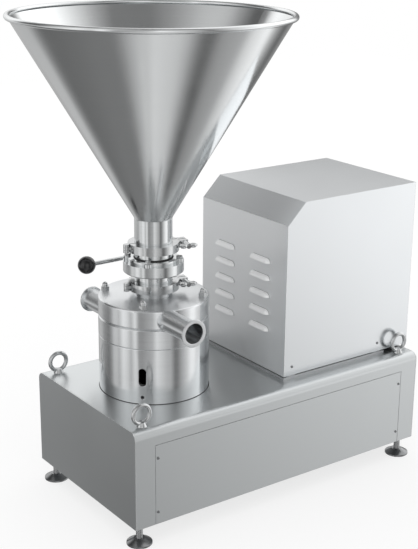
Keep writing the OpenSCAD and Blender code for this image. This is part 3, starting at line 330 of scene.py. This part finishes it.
NODE_FINISHES = {
    "base sheet": ["base_shell", "front_panel", "bottom_plate", "panel_posts"],
    "end sheet": ["end_panel_left", "end_panel_right"],
    "hood sheet": ["hood", "hood_brackets"],
    "plate": ["motor_plate"],
    "cone sheet": ["hopper_cone"],
    "mill": [
        "bearing_housing", "discharge_ring", "mill_cover", "bearing_cap", "stator", "rotor", "rotor_nut",
    ],
    "line": [
        "hopper_neck", "valve_lower_body", "valve_upper_body", "valve_disc", "valve_stem", "spindle",
        "bearings",
    ],
    "clamp": ["clamp_front_halves", "clamp_rear_halves", "wing_nut_lower", "wing_nut_upper"],
    "bolt": [
        "eye_bolts", "housing_bolts", "cover_studs", "dome_nuts", "clamp_pins", "swing_bolts", "valve_bolts",
        "lever_arm", "motor_bolts", "motor_shaft",
    ],
    "screw": ["panel_screws", "hood_screws"],
    "rod": ["foot_rod_front_left", "foot_rod_back_left", "foot_rod_front_right", "foot_rod_back_right"],
    "pad": ["foot_pad_front_left", "foot_pad_back_left", "foot_pad_front_right", "foot_pad_back_right"],
    "motor": ["motor_frame", "motor_flange", "terminal_box"],
    "cowl": ["motor_cowl"],
    "iron": ["motor_pulley", "spindle_pulley"],
    "rubber": ["belts", "shaft_seal", "casing_gaskets", "clamp_gaskets", "valve_seat"],
    "knob": ["lever_knob"],
}

for finish, names in NODE_FINISHES.items():
    for name in names:
        mesh = nodes[name].data
        mesh.materials.clear()
        mesh.materials.append(FINISHES[finish])

# How far a ring of painted shade bites into what carries it
BITE = 0.0003
SHADE_RING_STEPS = 128


def fillet(size):
    """The section of a slightly rounded dark bead of painted shade in an inside corner, as (out, up) from
    the corner.
    """
    near, far = 0.3 * size, 0.75 * size
    return [(-BITE, -BITE), (size, -BITE), (far, near), (near, far), (-BITE, size)]


def shade_band_edge(width, height):
    """The section of a dark band of painted shade under an overhang, as (out, up) from its upper outer edge.
    """
    round_off = height / 5
    return [(-width, -height), (-round_off, -height), (0, round_off - height), (0, BITE), (-width, BITE)]


def painted_shade_ring(name, radius, level, section):
    """A black rubber ring of painted shade round the mill's axis, with a section that is given from a radius
    and a level.
    """
    points = []
    faces = []
    for step in range(SHADE_RING_STEPS):
        angle = math.tau * step / SHADE_RING_STEPS
        following = (step + 1) % SHADE_RING_STEPS
        for number, (out, rise) in enumerate(section):
            reach = radius + out
            points.append((AXIS_X + reach * math.cos(angle), AXIS_Y + reach * math.sin(angle), level + rise))
            neighbour = (number + 1) % len(section)
            corners = [(step, number), (following, number), (following, neighbour), (step, neighbour)]
            faces.append([turn * len(section) + place for turn, place in corners])
    mesh = bpy.data.meshes.new(name)
    mesh.from_pydata(points, [], faces)
    # The black rubber finish makes this ring a band of painted shade
    mesh.materials.append(FINISHES["rubber"])
    ring = bpy.data.objects.new(name, mesh)
    bpy.context.scene.collection.objects.link(ring)
    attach(ring, "machine")


# The valve's tube, its thick ring and its flange, and the sizes of the rings of painted shade
TUBE_R = 0.0445
VALVE_RING_R = 0.0715
VALVE_RING_HEIGHT = 0.024
VALVE_FLANGE = 0.008
HOUSING_SHADOW_BEAD = 0.0015
FLANGE_SHADE_BEAD = 0.0032
SHADE_BAND_WIDTH = 0.005
SHADE_BAND_HEIGHT = 0.0018
SHADE_BAND_R = VALVE_RING_R - 0.002

# Black rings of painted shade: a painted contact shadow at the foot of the housing, and painted shade in the
# corner on the valve's flange and under its thick ring
housing_low, housing_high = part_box("bearing_housing")
housing_r = (housing_high.x - housing_low.x) / 2
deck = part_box("base_shell")[1].z
valve_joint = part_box("valve_lower_body")[1].z
painted_shade_ring("housing_painted_shadow", housing_r, deck, fillet(HOUSING_SHADOW_BEAD))
painted_shade_ring("valve_flange_painted_shade", TUBE_R, valve_joint + VALVE_FLANGE, fillet(FLANGE_SHADE_BEAD))
painted_shade_ring("valve_ring_painted_shade", SHADE_BAND_R, valve_joint - VALVE_RING_HEIGHT, shade_band_edge(SHADE_BAND_WIDTH, SHADE_BAND_HEIGHT))

# The white studio's panels, belt by belt from the floor up: the belt's height in degrees,
# then the brightness round it, as (direction in degrees from +X, brightness)
BELTS = [
    (-60, [
        (-180, 0.21), (-172, 0.25), (-160, 0.45), (-140, 0.7), (-133, 0.65), (-121, 0.8), (-84, 0.7),
        (-72, 0.55), (-63, 0.3), (-54, 0.12), (-46, 0.1), (-38, 0.32), (0, 0.35), (60, 0.25), (90, 0.22),
        (180, 0.22),
    ]),
    (-32, [
        (-180, 0.24), (-165, 0.36), (-150, 0.5), (-137, 0.55), (-121, 0.75), (-108, 0.72), (-90, 0.6),
        (-75, 0.4), (-60, 0.33), (-50, 0.46), (-44, 0.62), (-30, 0.6), (-18, 0.6), (-10, 1.1), (5, 1.2),
        (14, 0.6), (25, 0.28), (65, 0.25), (85, 0.6), (100, 0.6), (109, 0.3), (116, 0.14), (150, 0.14),
        (180, 0.24),
    ]),
    (-20, [
        (-180, 0.95), (-171, 0.6), (-162, 1.0), (-154, 0.34), (-147, 0.3), (-126, 0.5), (-117, 0.9),
        (-96, 0.53), (-89, 0.5), (-79, 0.14), (-73, 0.18), (-63, 0.52), (-50, 0.8), (-40, 1.2), (-33, 1.2),
        (-24, 0.9), (0, 0.45), (25, 0.15), (45, 0.2), (70, 0.4), (86, 0.55), (100, 0.5), (112, 0.3),
        (130, 0.18), (138, 0.34), (147, 0.74), (155, 0.74), (160, 0.6), (171, 1.1), (180, 0.95),
    ]),
    (-12, [
        (-180, 0.95), (-171, 0.6), (-162, 1.0), (-152, 0.34), (-126, 0.5), (-117, 0.9), (-92, 0.5),
        (-79, 0.18), (-63, 0.6), (-50, 1.2), (-33, 1.35), (-20, 1.0), (0, 0.6), (40, 0.3), (86, 0.6),
        (100, 0.7), (120, 0.8), (140, 0.76), (171, 1.0), (180, 0.95),
    ]),
    (8, [
        (-180, 1.2), (-171, 0.8), (-162, 1.3), (-152, 0.45), (-126, 0.65), (-117, 1.2), (-92, 0.65),
        (-79, 0.25), (-63, 0.65), (-48, 0.8), (-35, 1.2), (-15, 1.5), (22, 1.3), (32, 0.18), (51, 0.2),
        (60, 0.9), (75, 1.0), (98, 1.1), (108, 0.65), (120, 0.14), (140, 0.14), (160, 0.8), (180, 1.2),
    ]),
    (24, [
        (-180, 1.2), (-171, 0.8), (-162, 1.3), (-152, 0.45), (-126, 0.65), (-117, 1.2), (-92, 0.65),
        (-79, 0.25), (-55, 0.85), (-35, 1.15), (-15, 1.6), (30, 1.6), (40, 1.15), (50, 1.15), (60, 1.3),
        (80, 1.2), (98, 1.3), (106, 0.95), (111, 0.2), (120, 0.1), (140, 0.12), (155, 0.5), (180, 1.2),
    ]),
    (48, [
        (-180, 0.58), (-168, 0.48), (-145, 0.33), (-120, 0.2), (-75, 0.22), (-53, 0.5), (-40, 0.75),
        (-15, 1.2), (25, 1.2), (55, 0.8), (80, 0.3), (110, 0.1), (122, 0.15), (135, 0.5), (150, 0.65),
        (180, 0.58),
    ]),
]
EVEN_LIGHT = 1.0
WHITE = 1.0

world = bpy.data.worlds.new("studio")
world.use_nodes = True
bpy.context.scene.world = world
sky = world.node_tree
look = add(sky, "SeparateXYZ", {0: add(sky, "TexCoord").outputs["Generated"]})
turn = math_node(sky, "ARCTAN2", look.outputs[1], look.outputs[0])
share = math_node(sky, "MULTIPLY_ADD", turn, 1 / math.tau, 0.5)
height = math_node(sky, "DEGREES", math_node(sky, "ARCSINE", look.outputs[2]))
room, below = None, None
for belt, stops in BELTS:
    ramp = add(sky, "ValToRGB", {0: share})
    set_ramp(ramp.color_ramp, [((angle + 180) / 360, level) for angle, level in stops])
    if room is None:
        room = ramp.outputs[0]
    else:
        rise = add(sky, "MapRange", {"Value": height, "From Min": below, "From Max": belt}).outputs[0]
        room = mix_colors(sky, rise, room, ramp.outputs[0])
    below = belt
# Steel shows the panels, matt surfaces get one even light, and the eye sees a white room
paths = add(sky, "LightPath")
lit = mix_colors(sky, paths.outputs["Is Glossy Ray"], grey(EVEN_LIGHT), room)
clear = math_node(sky, "MAXIMUM", paths.outputs["Is Camera Ray"], paths.outputs["Is Transmission Ray"])
seen = mix_colors(sky, clear, lit, grey(WHITE))
sky.links.new(seen, sky.nodes["Background"].inputs["Color"])
sky.nodes["Background"].inputs["Strength"].default_value = 1.0

# The floor, white up to its faint shadow
FLOOR_SIZE = 12.0
FLOOR_PARTS = 4
FLOOR_COLOR = (0.3, 0.3, 0.3)
FLOOR_ROUGHNESS = 0.9
FLOOR_GLOW = 0.71
bpy.ops.mesh.primitive_grid_add(x_subdivisions=FLOOR_PARTS, y_subdivisions=FLOOR_PARTS, size=FLOOR_SIZE)
floor = bpy.context.object
floor.name = "floor"
floor_paint, _, floor_shader = material("floor_white", FLOOR_COLOR, FLOOR_ROUGHNESS, metallic=0.0)
floor_shader.inputs["Emission Color"].default_value = grey(WHITE)
floor_shader.inputs["Emission Strength"].default_value = FLOOR_GLOW
floor_shader.inputs["Specular IOR Level"].default_value = 0.0
floor.data.materials.append(floor_paint)
floor.visible_glossy = False

# The camera: its place and how far it sees in metres, its angles, its lens and sensor in millimetres
CAMERA_PLACE = Vector((-1.6458, -2.2494, 1.4307))
CAMERA_REACH = 50.0
CAMERA_TURN = math.radians(35.92)
CAMERA_FALL = math.radians(17.89)
CAMERA_ROLL = math.radians(0.53)
CAMERA_LENS = 78.49
CAMERA_SENSOR = 36.0
ahead = Vector((
    math.sin(CAMERA_TURN) * math.cos(CAMERA_FALL),
    math.cos(CAMERA_TURN) * math.cos(CAMERA_FALL),
    -math.sin(CAMERA_FALL),
))
level_right = Vector((math.cos(CAMERA_TURN), -math.sin(CAMERA_TURN), 0))
level_up = level_right.cross(ahead)
right = level_right * math.cos(CAMERA_ROLL) + level_up * math.sin(CAMERA_ROLL)
up = level_up * math.cos(CAMERA_ROLL) - level_right * math.sin(CAMERA_ROLL)
camera_data = bpy.data.cameras.new("camera")
camera_data.lens = CAMERA_LENS
camera_data.sensor_width = CAMERA_SENSOR
camera_data.clip_end = CAMERA_REACH
camera = bpy.data.objects.new("camera", camera_data)
bpy.context.scene.collection.objects.link(camera)
camera.matrix_world = Matrix.Translation(CAMERA_PLACE) @ Matrix((right, up, -ahead)).transposed().to_4x4()
bpy.context.scene.camera = camera

bpy.context.scene.view_settings.view_transform = "Standard"
